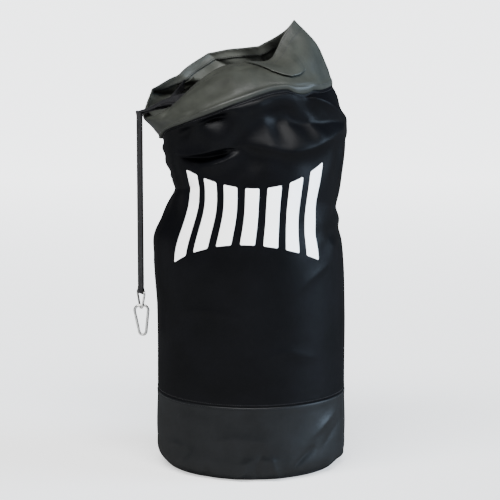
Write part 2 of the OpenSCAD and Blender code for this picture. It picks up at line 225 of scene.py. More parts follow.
# (points of the fold's line, height out of the surface, half width above it, half width below it,
#  how far its crest slides down the cloth)
FOLDS = (
    # the rolled fold at the left shoulder, the pocket under it and where it opens out
    (((213, 603), (223, 608), (236, 619), (252, 622), (261, 612)), 10, 14, 7, 9),
    (((217, 594), (230, 592), (244, 596), (255, 602)), -11, 7, 9, 0),
    (((262, 610), (258, 596), (246, 581), (232, 571)), 8, 7, 15, 0),
    # the long shoulder ridge, up to the point at the right
    (((256, 619), (268, 617), (280, 608), (291, 600), (304, 603), (316, 610), (332, 619), (354, 628)),
     9, 20, 13, 3),
    # creases that run together at the right point
    (((310, 692), (324, 680), (337, 662), (358, 632)), 10, 9, 12, 0),
    (((306, 703), (318, 697), (330, 704)), -3, 12, 10, 10),
    (((296, 642), (314, 638), (334, 637), (354, 631)), -5, 9, 9, 0),
    (((356, 628), (8, 634), (24, 652), (40, 676)), 7, 10, 12, 0),
    (((358, 624), (14, 604), (36, 594), (60, 590)), 6, 14, 12, 2),
    # left waist notch, round to the back
    (((240, 532), (216, 520), (192, 506), (168, 500), (140, 508)), -3, 8, 8, 0),
    (((186, 534), (168, 528), (150, 526), (130, 532)), 3, 12, 9, 1),
    # right waist
    (((308, 530), (326, 522), (347, 515), (12, 520), (40, 530)), -2, 14, 12, 0),
    (((322, 496), (342, 490), (4, 488), (28, 494)), 1.5, 12, 12, 0),
    # back of the waist and shoulder
    (((50, 520), (78, 506), (104, 512), (130, 500)), -8, 14, 12, 0),
    (((62, 560), (86, 548), (112, 556)), 6, 14, 10, 2),
    (((96, 640), (118, 618), (140, 580)), -7, 14, 14, 0),
    (((58, 640), (72, 612), (78, 576)), 6, 12, 12, 0),
    # slack streaks low on the panel
    (((292, 340), (300, 352), (312, 376), (328, 398)), 1.6, 9, 9, 0),
    (((276, 224), (292, 238), (314, 218)), 1.2, 10, 10, 0),
    (((218, 300), (240, 312), (266, 306)), 1.2, 12, 10, 0),
    (((20, 330), (50, 344), (84, 334)), 1.8, 12, 10, 0),
    (((120, 380), (150, 366), (186, 376)), 2.0, 12, 10, 0),
    # creases in the bottom band
    (((308, 78), (319, 98), (334, 118)), 3.0, 7, 6, 0),
    (((318, 60), (330, 84), (342, 100)), -2.4, 9, 9, 0),
    (((294, 20), (301, 42), (312, 66)), -4.2, 7, 6, 0),
    (((258, 0), (265, 26), (268, 54)), 3.6, 7, 6, 0),
    (((276, 0), (273, 30), (278, 66)), -4.4, 6, 7, 0),
    (((290, 0), (284, 32), (282, 54)), 3.8, 7, 6, 0),
    (((262, 38), (272, 48), (288, 46)), 2.2, 6, 5, 0),
    (((246, 78), (262, 86), (282, 80)), 1.8, 8, 8, 0),
    (((236, 0), (242, 20), (240, 44)), -3.0, 7, 7, 0),
    (((220, 20), (230, 40), (234, 66)), 2.4, 6, 7, 0),
    (((324, 0), (326, 16), (332, 34)), 3.4, 6, 6, 0),
    (((338, 0), (340, 16), (338, 34)), -3.4, 6, 6, 0),
    (((352, 0), (350, 20), (344, 40)), 3.0, 6, 6, 0),
    (((200, 40), (214, 62), (232, 58)), 2.2, 7, 7, 0),
    (((120, 30), (132, 60), (150, 74)), 1.8, 7, 7, 0),
    (((40, 20), (52, 48), (74, 60)), 1.8, 7, 7, 0),
    # collar: the soft bend under the flap and the drawn-in left end
    (((292, 722), (310, 718), (332, 722), (352, 728)), 4, 12, 9, 2),
    (((214, 716), (224, 724), (236, 726)), 3, 7, 7, 0),
    (((204, 740), (216, 764), (224, 800)), -4, 9, 9, 0),
    # the far side of the collar, whose inner face shows: flat facets between straight creases
    (((54, 860), (58, 824), (66, 790), (78, 760)), -7, 18, 18, 0),
    (((104, 860), (102, 824), (94, 790), (84, 760)), 8, 18, 18, 0),
    (((134, 860), (130, 824), (120, 790), (112, 762)), -7, 16, 16, 0),
    (((160, 860), (156, 824), (150, 796), (138, 766)), 7, 14, 14, 0),
)

# (angle, height, half width round the bag, half width up it, height out of the surface)
DENTS = (
    (294, 652, 66, 24, -13),
    (246, 675, 36, 18, -19),
    (249, 599, 12, 8, -5),
    (222, 660, 26, 24, -9),
    (250, 636, 26, 14, 5),
    (336, 678, 34, 18, 4),
    (320, 686, 14, 11, -4),
    (300, 480, 90, 40, -2),
    (184, 424, 60, 28, 6),
    (332, 714, 30, 10, 5),
    (110, 600, 70, 40, -8),
    (40, 640, 60, 30, -6),
    (262, 772, 70, 22, 4),
    (100, 842, 110, 26, 13),
    (100, 786, 110, 22, -6),
    (300, 90, 60, 34, -2.5),
    (236, 70, 70, 40, -2),
    (30, 80, 70, 40, -2.5),
    (120, 70, 60, 40, -2.5),
)

# The rim's corners on the far side: angles, and how much higher the rim stands there.
RIM_CORNER = (0, 30, 55, 104, 135, 160, 185, 360)
RIM_RISE = (0, -3, -8, -4, -9, 3, 0, 0)
RIM_RISE_FROM = 740
RIM_RISE_OVER = 90

# Where cloth is to spare: angle, height, half widths, spare length up and round, in parts of one.
SPARE = (
    (150, 540, 75, 80, 0.12, 0.04),
    (280, 640, 150, 50, 0.06, 0.02),
    (40, 560, 90, 90, 0.06, 0.04),
    (110, 560, 150, 90, 0.12, 0.05),
    (150, 740, 80, 50, 0.06, 0.03),
    (90, 730, 150, 40, 0.05, 0.03),
    (290, 760, 130, 60, 0.02, 0.02),
)


def chart(u, t, u0):
    """Millimetres across and up the cloth from the angle u0."""
    across = (u - u0 + 180) % 360 - 180
    return across * BAG_R * TAU / 360, t


def through(points, per_step=8):
    """A smooth open line through a few points."""
    p = np.array(points, float)
    p = np.concatenate([[2 * p[0] - p[1]], p, [2 * p[-1] - p[-2]]])
    f = np.arange(per_step)[:, None] / per_step
    parts = [spline(*p[k:k + 4], f) for k in range(len(p) - 3)]
    return np.concatenate(parts + [p[-2:-1]])


# How round the crest of a crease is, how its sides fall off, how far out that is followed, and
# the share of its width that is left at its ends.
CREASE_R = 2.5
CREASE_FALL = 1.2
CREASE_REACH = 5
CREASE_TIP = 0.55


def fold_field(u, t, points, half_up, half_down):
    """How much each point belongs to a fold: 1 on its line, falling off to both sides and its ends."""
    u0 = points[0][0]
    x, y = chart(u, t, u0)
    line = through([chart(a, b, u0) for a, b in points])
    reach = CREASE_REACH * max(half_up, half_down)
    near_it = ((x > line[:, 0].min() - reach) & (x < line[:, 0].max() + reach)
               & (y > line[:, 1].min() - reach) & (y < line[:, 1].max() + reach))
    x = x[near_it]
    y = y[near_it]
    seg = np.diff(line, axis=0)
    length = np.linalg.norm(seg, axis=1)
    start = np.concatenate([[0], np.cumsum(length)])
    near = np.full(x.shape, np.inf)
    along = np.zeros(x.shape)
    above = np.zeros(x.shape)
    for k in range(len(seg)):
        dx = x - line[k, 0]
        dy = y - line[k, 1]
        f = np.clip((dx * seg[k, 0] + dy * seg[k, 1]) / length[k] ** 2, 0, 1)
        off_x = dx - f * seg[k, 0]
        off_y = dy - f * seg[k, 1]
        d = np.hypot(off_x, off_y)
        closer = d < near
        near = np.where(closer, d, near)
        along = np.where(closer, (start[k] + f * length[k]) / start[-1], along)
        above = np.where(closer, off_y, above)
    ends = np.sin(np.pi * np.clip(along * 0.97 + 0.015, 0, 1))
    up = 0.5 + 0.5 * np.tanh(above / 4)
    half = (half_down * (1 - up) + half_up * up) * (CREASE_TIP + (1 - CREASE_TIP) * ends)
    weight = np.zeros(u.shape)
    crest = np.sqrt(near ** 2 + CREASE_R ** 2) - CREASE_R
    weight[near_it] = np.exp(-(crest / half) ** CREASE_FALL) * ends
    return weight


def blob(u, t, centre_u, centre_t, half_x, half_t):
    """A soft round weight, 1 at its centre."""
    x, y = chart(u, t, centre_u)
    return np.exp(-(x / half_x) ** 2 - ((y - centre_t) / half_t) ** 2)


def sculpted():
    """The bag's cloth with its large folds, before it is relaxed. Also the fabric heights."""
    height, lift = cloth_rows()
    plain = on_bag(ANGLES, height)
    no_pleat = on_bag(ANGLES, cloth_rows_plain())
    normal = normals_of(no_pleat)
    down = -unit(np.gradient(no_pleat, axis=0))
    u = np.broadcast_to(ANGLES, height.shape)
    out = lift.copy()
    slide = np.zeros_like(out)
    for points, rise, half_up, half_down, drop in FOLDS:
        weight = fold_field(u, height, points, half_up, half_down)
        out += rise * weight
        slide += drop * weight
    for centre_u, centre_t, half_x, half_t, rise in DENTS:
        out += rise * blob(u, height, centre_u, centre_t, half_x, half_t)
    out += seam_roll(u, height)
    grid = plain + out[..., None] * normal + slide[..., None] * down
    grid[..., 2] += np.interp(u, RIM_CORNER, RIM_RISE) * smooth((height - RIM_RISE_FROM) / RIM_RISE_OVER)
    return grid, height


# Height out of the surface, middle and half width of each roll and groove beside the seams.
COLLAR_ROLLS = ((3.4, PANEL_TOP + 7, 6), (-2.2, PANEL_TOP - 3, 3.5))
BAND_ROLLS = ((0.6, BAND_TOP - 5, 6), (-0.8, BAND_TOP + 1, 2))


def rolls(t, rows):
    """Rolls and grooves that run round the bag."""
    return sum(rise * np.exp(-((t - middle) / half) ** 2) for rise, middle, half in rows)


def seam_roll(u, t):
    """The collar rolls out over the panel, less at the right, and the band stands a little proud."""
    at_right = blob(u, t, 2, PANEL_TOP, 60, 40)
    return rolls(t, COLLAR_ROLLS) * (1 - 0.5 * at_right) + rolls(t, BAND_ROLLS)


# ---- relaxing the cloth

SEED = 11
LEAST_SPARE = 0.006


def spare(u, t):
    """How much longer the cloth is than its place, up it and round the bag, in parts of one."""
    up = np.full(u.shape, LEAST_SPARE)
    across = np.full(u.shape, LEAST_SPARE)
    for centre_u, centre_t, half_x, half_t, more_up, more_across in SPARE:
        weight = blob(u, t, centre_u, centre_t, half_x, half_t)
        up += more_up * weight
        across += more_across * weight
    return up, across


# How firmly the seams hold the cloth: height, half width and share taken up each round.
SEAM_HOLD = ((0, 12, 1), (BAND_TOP, 5, 0.25), (PANEL_TOP, 6, 0.1), (RIM_TOP, 8, 0.08))
LOOSE_HOLD = 0.0006
# The load fills the bag up to about here.
FILLED_HOLD = 0.006
FILLED_TOP = 430
# The pleat and the print keep their shape, and the left shoulder its outline.
PLEAT_HOLD = 0.3
PLEAT_LOW = 716
PLEAT_SPAN = (286, 337)
PRINT_HOLD = 0.02
PRINT_SPAN = (390, 570)
PRINT_HALF = 160
LEFT_HOLD = 0.03
LEFT_SHOULDER = (194, 650, 50, 34)


def hold(u, t):
    """How firmly the filled bag holds each point of the cloth to its sculpted place."""
    firm = LOOSE_HOLD + FILLED_HOLD * smooth((FILLED_TOP - t) / 60)
    for seam, half, more in SEAM_HOLD:
        firm = firm + more * np.exp(-((t - seam) / half) ** 2)
    start, end = PLEAT_SPAN
    firm += PLEAT_HOLD * smooth((t - PLEAT_LOW) / 8) * smooth((u - start) / 4) * smooth((end - u) / 4)
    firm += LEFT_HOLD * blob(u, t, *LEFT_SHOULDER)
    low, top = PRINT_SPAN
    middle = smooth(1 - np.abs(chart(u, t, PRINT_ANGLE)[0]) / PRINT_HALF)
    firm += PRINT_HOLD * smooth((t - low) / 30) * smooth((top - t) / 30) * middle
    return np.minimum(firm, 1)


def value_noise(rng, rows, columns, cells_up, cells_across):
    """Smooth noise between -1 and 1 that closes round the bag."""
    knots = rng.uniform(-1, 1, (cells_up + 1, cells_across))
    y = np.linspace(0, cells_up, rows, endpoint=False)
    x = np.arange(columns) * cells_across / columns
    i = y.astype(int)
    j = x.astype(int)
    fy = smooth(y - i)[:, None]
    fx = smooth(x - j)[None, :]
    k = (j + 1) % cells_across
    low = knots[i][:, j] * (1 - fx) + knots[i][:, k] * fx
    high = knots[i + 1][:, j] * (1 - fx) + knots[i + 1][:, k] * fx
    return low * (1 - fy) + high * fy


def laplace(d, m):
    """Difference of each point from its neighbours m steps away."""
    up = np.concatenate([d[m:], np.repeat(d[-1:], m, 0)])
    down = np.concatenate([np.repeat(d[:1], m, 0), d[:-m]])
    return (up + down + np.roll(d, m, 1) + np.roll(d, -m, 1)) / 4 - d


PAIR_SHARE = 0.45


def fit_pairs(a, b, rest):
    """Moves two sets of points towards being their rest length apart."""
    gap = b - a
    length = np.linalg.norm(gap, axis=-1)
    move = (PAIR_SHARE * (1 - rest / np.maximum(length, 1e-6)))[..., None] * gap
    a += move
    b -= move


COARSE = 4
BEND = 0.03
FINE_BEND = 0.1


def relax(target, x, rest_up, rest_across, firm, rounds, step):
    """Lets the cloth take up its spare length in folds, over the shape that the load holds."""
    firm = firm[..., None]
    reach = COARSE // step
    for _ in range(rounds):
        x += firm * (target - x)
        for start in (0, 1):
            low = x[start:-1:2]
            high = x[start + 1::2]
            count = min(len(low), len(high))
            fit_pairs(low[:count], high[:count], rest_up[start::2][:count])
        even = x[:, 0::2].copy()
        odd = x[:, 1::2].copy()
        fit_pairs(even, odd, rest_across[:, 0::2])
        even = np.roll(even, -1, 1)
        fit_pairs(odd, even, rest_across[:, 1::2])
        x[:, 0::2] = np.roll(even, 1, 1)
        x[:, 1::2] = odd
        moved = x - target
        x -= BEND * laplace(laplace(moved, reach), reach)
        if reach > 1:
            moved = x - target
            x -= FINE_BEND * laplace(laplace(moved, 1), 1)
    return x


def resampled(d, rows, columns):
    """A field of moves on a finer grid."""
    old_rows, old_columns = d.shape[:2]
    y = np.arange(rows) * (old_rows - 1) / (rows - 1)
    i = np.minimum(y.astype(int), old_rows - 2)
    f = (y - i)[:, None, None]
    d = d[i] * (1 - f) + d[i + 1] * f
    x = np.arange(columns) * old_columns / columns
    j = x.astype(int)
    f = (x - j)[None, :, None]
    return d[:, j] * (1 - f) + d[:, (j + 1) % old_columns] * f


# Grid step and rounds of each pass, coarse to fine.
PASSES = ((COARSE, 400), (2, 150), (1, 40))
FIRST_NOISE = 3.0
NOISE_CELL = 4


def relaxed(grid, height):
    """The sculpted cloth after it has settled: small wrinkles where it has length to spare."""
    rng = np.random.default_rng(SEED)
    u = np.broadcast_to(ANGLES, height.shape)
    spare_up, spare_across = spare(u, height)
    firm = hold(u, height)
    moved = np.zeros_like(grid[::COARSE, ::COARSE])
    for step, rounds in PASSES:
        target = grid[::step, ::step]
        rows, columns = target.shape[:2]
        firm_here = firm[::step, ::step]
        place = target + resampled(moved, rows, columns)
        if step == COARSE:
            bumps = value_noise(rng, rows, columns, rows // NOISE_CELL, columns // NOISE_CELL)
            loose = 1 - np.clip(4 * firm_here, 0, 1)
            place += FIRST_NOISE * (bumps * loose)[..., None] * normals_of(target)
        rest_up = np.linalg.norm(np.diff(target, axis=0), axis=2) * (1 + spare_up[::step, ::step][:-1])
        rest_across = np.linalg.norm(np.roll(target, -1, 1) - target, axis=2)
        rest_across *= 1 + spare_across[::step, ::step]
        moved = relax(target, place, rest_up, rest_across, firm_here, rounds, step) - target
    return grid + moved


# ---- meshes

def in_scene(name, data):
    """A new object with its data, linked into the scene."""
    obj = bpy.data.objects.new(name, data)
    bpy.context.scene.collection.objects.link(obj)
    return obj


def add_object(name, vertices, faces, body, material, uvs=None, smooth_shade=True):
    """Makes a mesh object in metres from points in millimetres, and lets it ride on a body."""
    mesh = bpy.data.meshes.new(name)
    vertices = np.asarray(vertices, float).reshape(-1, 3) * MM
    mesh.from_pydata(vertices.tolist(), [], [tuple(f) for f in faces])
    if uvs is not None:
        layer = mesh.uv_layers.new(name="cloth")
        flat = np.asarray(uvs, float).reshape(-1, 2)
        loops = np.empty(len(mesh.loops), int)
        mesh.loops.foreach_get("vertex_index", loops)
        layer.data.foreach_set("uv", flat[loops].ravel())
    mesh.polygons.foreach_set("use_smooth", [smooth_shade] * len(mesh.polygons))
    mesh.validate()
    mesh.update()
    obj = in_scene(name, mesh)
    mesh.materials.append(material)
    if body:
        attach(obj, body)
    return obj


def grid_faces(rows, columns, closed=False):
    """Quads of a grid whose rows go up and whose columns go to the right, seen from outside."""
    across = np.arange(columns if closed else columns - 1)
    j, i = np.meshgrid(np.arange(rows - 1), across, indexing="ij")
    a = j * columns + i
    b = j * columns + (i + 1) % columns
    return np.stack([a, b, b + columns, a + columns], -1).reshape(-1, 4).tolist()


def merge_doubles(obj):
    """Joins points that lie on each other. Each face keeps its own place in the weave."""
    mesh = bmesh.new()
    mesh.from_mesh(obj.data)
    bmesh.ops.remove_doubles(mesh, verts=mesh.verts, dist=1e-7)
    mesh.to_mesh(obj.data)
    mesh.free()


def thicken(obj, thickness, inside=None):
    """Gives a sheet its thickness inwards, with its own material on the inside."""
    solid = obj.modifiers.new("thickness", "SOLIDIFY")
    solid.thickness = thickness * MM
    solid.offset = -1
    if inside:
        obj.data.materials.append(inside)
        solid.material_offset = 1


def finish_piece(obj, slot, *nodes):
    """Hides the CAD nodes that the piece stands for. The slot of its finish is not used."""
    if nodes:
        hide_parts(*nodes)
    return obj


def cloth_piece(name, points, uv, material, thickness, slot, node, inside=None, faces=None,
                closed=False):
    """A piece of the bag's cloth from its outer face. A closed one's last column is its first."""
    faces = faces or grid_faces(*points.shape[:2])
    obj = add_object(name, points, faces, "bag", material, uv)
    if closed:
        merge_doubles(obj)
    thicken(obj, thickness, inside)
    return finish_piece(obj, slot, node)


def cloth_uv(u, t):
    """Metres across and up the flat cut, for the weave."""
    u, t = np.broadcast_arrays(np.asarray(u, float), np.asarray(t, float))
    return np.stack([u / 360 * TAU * BAG_R * MM, t * MM], -1)


class Cloth:
    """The finished cloth grid, which seams, tapes, print and stitches are laid on."""

    def __init__(self, grid):
        self.grid = grid
        self.normal = normals_of(grid)

    def sample(self, row, u, out=0.0):
        """Points at fractional rows and angles, lifted off the outer face, and the outward normals."""
        row, u = np.broadcast_arrays(np.asarray(row, float), np.asarray(u, float))
        j = np.clip(np.floor(row).astype(int), 0, len(self.grid) - 2)
        f = (row - j)[..., None]
        x = u % 360 / 360 * COLUMNS
        i = np.floor(x).astype(int) % COLUMNS
        g = (x - np.floor(x))[..., None]
        k = (i + 1) % COLUMNS

        def mixed(a):
            low = a[j, i] * (1 - g) + a[j, k] * g
            high = a[j + 1, i] * (1 - g) + a[j + 1, k] * g
            return low * (1 - f) + high * f

        normal = unit(mixed(self.normal))
        return mixed(self.grid) + out * normal, normal


def row_at(t):
    """The grid row at a fabric height, measured up the cloth. In the collar it ignores the pleat."""
    t = np.asarray(t, float)
    panel = BAND_ROWS + (t - BAND_TOP) / (PANEL_TOP - BAND_TOP) * PANEL_ROWS
    collar = COLLAR_ROW + (t - PANEL_TOP) / (RIM_TOP - PANEL_TOP) * COLLAR_ROWS
    return np.where(t < BAND_TOP, t / BAND_TOP * BAND_ROWS, np.where(t < PANEL_TOP, panel, collar))


# ---- materials

def new_material(name):
    mat = bpy.data.materials.new(name)
    mat.use_nodes = True
    return mat, mat.node_tree, mat.node_tree.nodes["Principled BSDF"]


def set_inputs(node, **inputs):
    for key, value in inputs.items():
        node.inputs[key.replace("_", " ")].default_value = value
    return node


def add_node(tree, kind, **inputs):
    return set_inputs(tree.nodes.new(kind), **inputs)


def math_node(tree, operation, *values):
    made = tree.nodes.new("ShaderNodeMath")
    made.operation = operation
    for slot, value in enumerate(values):
        if isinstance(value, (int, float)):
            made.inputs[slot].default_value = value
        else:
            tree.links.new(value, made.inputs[slot])
    return made.outputs[0]


def cloth_coordinates(tree):
    uv = tree.nodes.new("ShaderNodeUVMap")
    uv.uv_map = "cloth"
    split = tree.nodes.new("ShaderNodeSeparateXYZ")
    tree.links.new(uv.outputs[0], split.inputs[0])
    return uv.outputs[0], split.outputs[0], split.outputs[1]


def plain_weave(tree, pitch):
    """Cloth coordinates, and the height of a plain weave whose threads pass over and under."""
    vector, across, up = cloth_coordinates(tree)
    x = math_node(tree, "DIVIDE", across, pitch)
    y = math_node(tree, "DIVIDE", up, pitch)
    cell = math_node(tree, "ADD", math_node(tree, "FLOOR", x), math_node(tree, "FLOOR", y))
    over = math_node(tree, "PINGPONG", cell, 1.0)
    mix = tree.nodes.new("ShaderNodeMix")
    tree.links.new(over, mix.inputs[0])
    for slot, place in ((2, x), (3, y)):
        wave = math_node(tree, "SINE", math_node(tree, "MULTIPLY", place, math.pi))
        tree.links.new(math_node(tree, "ABSOLUTE", wave), mix.inputs[slot])
    return vector, mix.outputs[0]


def bump(tree, height, distance, strength, normal=None):
    made = add_node(tree, "ShaderNodeBump", Strength=strength, Distance=distance)
    tree.links.new(height, made.inputs["Height"])
    if normal:
        tree.links.new(normal, made.inputs["Normal"])
    return made.outputs[0]


def noise(tree, vector, scale, detail, roughness=0.55):
    made = add_node(tree, "ShaderNodeTexNoise", Scale=scale, Detail=detail, Roughness=roughness)
    tree.links.new(vector, made.inputs["Vector"])
    return made.outputs[0]


def ramp(tree, factor, low, high, low_at=0.3, high_at=0.7):
    made = tree.nodes.new("ShaderNodeValToRGB")
    made.color_ramp.elements[0].position = low_at
    made.color_ramp.elements[0].color = low
    made.color_ramp.elements[1].position = high_at
    made.color_ramp.elements[1].color = high
    tree.links.new(factor, made.inputs[0])
    return made.outputs[0]


def grey(value):
    return (value, value, value, 1)


def uneven(tree, shader, name, vector, scale, detail, low, high):
    """Lets one of the shader's inputs wander between two values."""
    tree.links.new(ramp(tree, noise(tree, vector, scale, detail), low, high), shader.inputs[name])


COAT_IOR = 2.6


def coat(tree, shader, normal, weight, roughness):
    """A thin gloss that is nearly the same from all sides, instead of a plain plastic shine."""
    set_inputs(shader, Specular_IOR_Level=0, Coat_Weight=weight, Coat_IOR=COAT_IOR,
               Coat_Roughness=roughness)
    tree.links.new(normal, shader.inputs["Coat Normal"])


# The width of one thread of the nylon, in metres.
NYLON_PITCH = 0.0008


def nylon_material():
    mat, tree, shader = new_material("woven_nylon")
    vector, weave = plain_weave(tree, NYLON_PITCH)
    dark = (0.0010, 0.0011, 0.0014, 1)
    pale = (0.0018, 0.0019, 0.0025, 1)
    uneven(tree, shader, "Base Color", vector, 14, 3, dark, pale)
    uneven(tree, shader, "Roughness", vector, 60, 5, grey(0.34), grey(0.46))
    fine = bump(tree, weave, 0.0001, 0.35)
    soft = bump(tree, noise(tree, vector, 70, 6), 0.0012, 0.3, fine)
    tree.links.new(soft, shader.inputs["Normal"])
    coat(tree, shader, soft, 0.019, 0.38)
    return mat


def coated_material(name, low, high, shine):
    """Fabric coated with grained plastic, like thin artificial leather."""
    mat, tree, shader = new_material(name)
    vector, _, _ = cloth_coordinates(tree)
    uneven(tree, shader, "Base Color", vector, 22, 5, low, high)
    uneven(tree, shader, "Roughness", vector, 40, 5, grey(0.4), grey(0.56))
    grain = add_node(tree, "ShaderNodeTexVoronoi", Scale=800.0)
    grain.feature = "DISTANCE_TO_EDGE"
    tree.links.new(vector, grain.inputs["Vector"])
    fine = bump(tree, grain.outputs[0], 0.00025, 0.4)
    soft = bump(tree, noise(tree, vector, 60, 6), 0.002, 0.3, fine)
    tree.links.new(soft, shader.inputs["Normal"])
    coat(tree, shader, soft, shine, 0.42)
    return mat


def woven_material(name, pitch, low, high, depth):
    mat, tree, shader = new_material(name)
    vector, weave = plain_weave(tree, pitch)
    uneven(tree, shader, "Base Color", vector, 150, 4, low, high)
    set_inputs(shader, Roughness=0.65, Specular_IOR_Level=0.08)
    tree.links.new(bump(tree, weave, depth, 0.7), shader.inputs["Normal"])
    return mat


def print_material():
    mat, tree, shader = new_material("print_film")
    vector, weave = plain_weave(tree, NYLON_PITCH)
    speckle = noise(tree, vector, 420, 6, 0.7)
    worn = ramp(tree, speckle, (0.55, 0.56, 0.55, 1), (0.86, 0.86, 0.85, 1), 0.2, 0.36)
    tree.links.new(worn, shader.inputs["Base Color"])
    set_inputs(shader, Roughness=0.5)
    fine = bump(tree, weave, 0.0001, 0.4)
    tree.links.new(bump(tree, noise(tree, vector, 120, 4), 0.0005, 0.3, fine), shader.inputs["Normal"])
    return mat


def solid_material(name, low, high, rough_low, rough_high, metallic, grain_size, depth):
    """A finish that is the same on all sides of a piece: metal wire or sewing thread."""
    mat, tree, shader = new_material(name)
    place = tree.nodes.new("ShaderNodeTexCoord").outputs["Object"]
    uneven(tree, shader, "Base Color", place, grain_size, 5, low, high)
    uneven(tree, shader, "Roughness", place, 2 * grain_size, 4, grey(rough_low), grey(rough_high))
    set_inputs(shader, Metallic=metallic, Specular_IOR_Level=0.1)
    grain = noise(tree, place, 4 * grain_size, 4)
    tree.links.new(bump(tree, grain, depth, 0.3), shader.inputs["Normal"])
    return mat


NYLON = nylon_material()
BAND = coated_material("coated_band", (0.0014, 0.0018, 0.0021, 1), (0.0034, 0.0040, 0.0046, 1), 0.05)
COLLAR = coated_material("coated_collar", (0.0112, 0.0120, 0.0101, 1), (0.0198, 0.0211, 0.0178, 1), 0.06)
# The collar's inner face and the rim hem: the collar's coated fabric painted about two and a half times
# lighter, a painted fill light against the shade inside the mouth.
INSIDE_PAINTED_LIGHTER = coated_material("coated_inside_painted_lighter", (0.03, 0.032, 0.028, 1), (0.05, 0.053, 0.047, 1), 0.08)
BACKING = woven_material("knit_backing", 0.0012, (0.010, 0.0115, 0.011, 1),
                         (0.02, 0.022, 0.021, 1), 0.0003)
WEBBING = woven_material("webbing", 0.0016, (0.003, 0.003, 0.0034, 1),
                         (0.0075, 0.0075, 0.0085, 1), 0.0004)
TAPE = woven_material("binding_tape", 0.001, (0.006, 0.006, 0.0065, 1),
                      (0.012, 0.012, 0.013, 1), 0.0002)
FILM = print_material()
THREAD = solid_material("sewing_thread", (0.005, 0.005, 0.006, 1), (0.016, 0.016, 0.018, 1),
                        0.45, 0.6, 0, 900, 0.0001)
STEEL = solid_material("nickel_wire", (0.2, 0.2, 0.195, 1), (0.42, 0.415, 0.4, 1),
                       0.2, 0.36, 1, 300, 0.00005)


# ---- panels

FLAT_GIRTH = TAU * BAG_R
BAND_THICK = 1.2
NYLON_THICK = 0.6
RIM_ROLL = 1.5
ROLL_STEPS = 7


ROUND_BAG = np.linspace(0, 360, COLUMNS + 1)
ROW_HEIGHTS = cloth_rows_plain()[:, 0]


def panel(name, grid, height, material, inside, thickness, slot, node):
    """Cloth all round the bag. Its first column comes again at the end: the weave's seam is there."""
    points = np.concatenate([grid, grid[:, :1]], 1)
    uv = cloth_uv(ROUND_BAG, height[:, None])
    return cloth_piece(name, points, uv, material, thickness, slot, node, inside=inside, closed=True)


def make_collar(cloth):
    """The collar up to the rim, and round the rim's rolled edge to where the hem starts inside."""
    points = [cloth.grid[COLLAR_ROW:]]
    edge = cloth.grid[-1]
    out = cloth.normal[-1]
    ahead = unit(edge - cloth.grid[-3])
    centre = edge - RIM_ROLL * out
    for k in range(1, ROLL_STEPS + 1):
        a = math.pi * k / ROLL_STEPS
        points.append((centre + RIM_ROLL * (math.cos(a) * out + math.sin(a) * ahead))[None])
    roll = RIM_TOP + math.pi * RIM_ROLL * np.arange(1, ROLL_STEPS + 1) / ROLL_STEPS
    height = np.concatenate([ROW_HEIGHTS[COLLAR_ROW:], roll])
    # The inner face gets the collar finish painted lighter, a painted fill light against the shade
    # inside the mouth.
    obj = panel("collar_cloth", np.concatenate(points), height, COLLAR, INSIDE_PAINTED_LIGHTER, BAND_THICK,
                "coated_fabric", "collar")


def strip(cloth, name, rows, angles, out, thickness, material, slot, node, closed=True):
    """A band of cloth that follows the bag at a distance from its outer face."""
    rows = np.asarray(rows, float)[:, None]
    angles = np.asarray(angles, float)[None, :]
    points, _ = cloth.sample(rows, angles, out)
    uv = cloth_uv(angles, rows * 2.0)
    return cloth_piece(name, points, uv, material, thickness, slot, node, closed=closed)


def make_panels(cloth):
    """The bottom band, the main panel and the collar, which meet at the seams."""
    rows = slice(0, SEAM_ROW + 1)
    band = panel("bottom_band_cloth", cloth.grid[rows], ROW_HEIGHTS[rows], BAND, BACKING, BAND_THICK,
                 "coated_fabric", "bottom_band")
    rows = slice(SEAM_ROW, COLLAR_ROW + 1)
    main = panel("main_panel_cloth", cloth.grid[rows], ROW_HEIGHTS[rows], NYLON, NYLON, NYLON_THICK,
                 "nylon", "main_panel")
    make_collar(cloth)


BASE_RINGS = 24
BASE_STEP = 5
BASE_THICK = 1.4
BASE_UNEVEN = 0.8
# The bound seam's outline, as radius and height, and how many columns go round it.
BINDING = ((154, 2.4), (154.4, 9), (153.6, 11.4), (151.6, 12.2), (149.9, 11.4), (149.4, 9), (149.8, 2.4))
BINDING_COLUMNS = 320
BINDING_THICK = 0.6


def make_base(cloth):
    """The round base, a little uneven."""
    share = np.linspace(0.02, 1, BASE_RINGS)[:, None]
    angle = np.radians(ANGLES[::BASE_STEP])[None, :]
    edge = cloth.grid[0, ::BASE_STEP]
    waves = 0.5 + 0.25 * np.sin(3 * angle + 5 * share) + 0.25 * np.cos(5 * angle - 9 * share)
    at_edge = share ** 8
    points = np.stack([share * edge[:, 0], share * edge[:, 1],
                       BASE_UNEVEN * (1 - at_edge) * waves + edge[:, 2] * at_edge], -1)
    columns = points.shape[1]
    faces = grid_faces(BASE_RINGS, columns, closed=True) + [tuple(range(columns))[::-1]]
    base = cloth_piece("base_cloth", points, points[..., :2] * MM, BAND, BASE_THICK,
                       "coated_fabric", "base_panel", inside=BACKING, faces=faces)


def make_base_binding():
    """The bound seam allowance that stands up inside the base."""
    profile = np.array(BINDING)
    a = np.arange(BINDING_COLUMNS) * TAU / BINDING_COLUMNS
    ripple = 0.3 * np.sin(23 * a) + 0.2 * np.sin(41 * a + 1)
    radius = profile[:, :1] + ripple
    points = np.stack([radius * np.cos(a), radius * np.sin(a),
                       np.broadcast_to(profile[:, 1:], radius.shape) - 0.2 * ripple], -1)
    length = np.arange(len(profile)) * 3.0
    uv = cloth_uv(np.degrees(a), length[:, None])
    faces = grid_faces(len(profile), BINDING_COLUMNS, closed=True)
    cloth_piece("base_binding_tape", points, uv, TAPE, BINDING_THICK, "seam_tape",
                "base_seam_binding", faces=faces)


TAPE_OUT = -1.7
TAPE_THICK = 0.8
HEM_OUT = -2 * RIM_ROLL - 0.1
BACK_TAPE = (86.7, 93.3)


